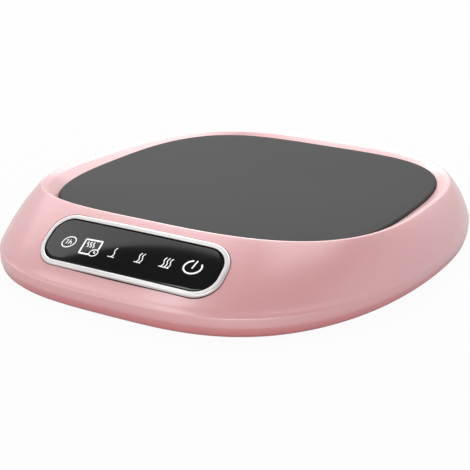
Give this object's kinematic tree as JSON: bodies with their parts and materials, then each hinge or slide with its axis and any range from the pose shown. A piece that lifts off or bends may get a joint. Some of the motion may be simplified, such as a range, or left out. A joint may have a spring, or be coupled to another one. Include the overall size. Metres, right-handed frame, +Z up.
{
  "type": "mug warmer",
  "caption": "Low rounded-square electric mug warmer with a spring-floated glass heating plate in a raised rim and a touch panel on its sloping front apron.",
  "frame": {"origin": "on the table, under the middle of the housing's outline", "axes": "+X to the right, +Y to the rear where the cord inlet is, +Z up; the touch panel faces -Y and up"},
  "size_m": [0.1292, 0.1498, 0.0214],
  "materials": {
    "shell_pink": "pearl pink, satin gloss",
    "cover_pink": "fine texture",
    "plate_glass": "frosted graphite glass",
    "black_silicone": "matt",
    "spreader_aluminium": "mill",
    "etched_foil": "polyimide over etched foil",
    "insulation_felt": "needled glass felt",
    "white_nylon": "moulded",
    "steel": "zinc plated",
    "spring_steel": "drawn",
    "sensor_bead": "epoxy",
    "fuse_case": "plated",
    "black_plastic": "moulded",
    "bezel_chrome": "polished",
    "window_black": "polished",
    "baffle_grey": "moulded",
    "board_green": "solder mask",
    "led_resin": "clear resin",
    "capacitor_yellow": "box film",
    "capacitor_blue": "sleeved can",
    "terminal_cream": "moulded",
    "mains_wire": "insulated, one brown and one blue",
    "white_wire": "insulated",
    "red_wire": "insulated",
    "black_rubber": "matt"
  },
  "bodies": {
    "housing": {"top_shell": "shell_pink", "base_cover": "cover_pink", "plate_springs": "spring_steel", "gravity_switch": "black_plastic", "control_bezel": "bezel_chrome", "touch_window": "window_black", "light_baffle": "baffle_grey", "touch_board": "board_green", "touch_springs": "spring_steel", "indicator_leds": "led_resin", "touch_chip": "black_plastic", "touch_board_screws": "steel", "board_link": "white_nylon", "power_board": "board_green", "power_board_screws": "steel", "heater_triac": "black_plastic", "dropper_capacitor": "capacitor_yellow", "smoothing_capacitor": "capacitor_blue", "mains_fuse": "fuse_case", "board_connectors": "white_nylon", "terminal_block": "terminal_cream", "terminal_screws": "steel", "mains_leads": "mains_wire", "heater_leads": "white_wire", "sensor_leads": "red_wire", "cord_grommet": "black_rubber", "rubber_feet": "black_rubber", "shell_screws": "steel"},
    "plate": {"heating_plate": "plate_glass", "plate_gasket": "black_silicone", "heat_spreader": "spreader_aluminium", "heating_element": "etched_foil", "insulation_pad": "insulation_felt", "plate_carrier": "white_nylon", "carrier_screws": "steel", "stop_screws": "steel", "temperature_sensor": "sensor_bead", "thermal_fuse": "fuse_case", "sensor_clip": "spring_steel", "clip_screws": "steel"},
    "plunger": {"switch_plunger": "white_nylon"}
  },
  "joints": [
    {"name": "plate_press", "type": "slide", "parent": "housing", "child": "plate", "axis": [0, 0, 1], "range_m": [-0.001, 0], "stiffness_N_per_m": 1500, "springref_m": 0.0015, "deforming": ["plate_springs", "heater_leads", "sensor_leads"]},
    {"name": "switch_press", "type": "slide", "parent": "housing", "child": "plunger", "axis": [0, 0, 1], "range_m": [-0.001, 0]}
  ],
  "couplings": [
    {"joint": "switch_press", "follows": "plate_press", "ratio": 1}
  ]
}
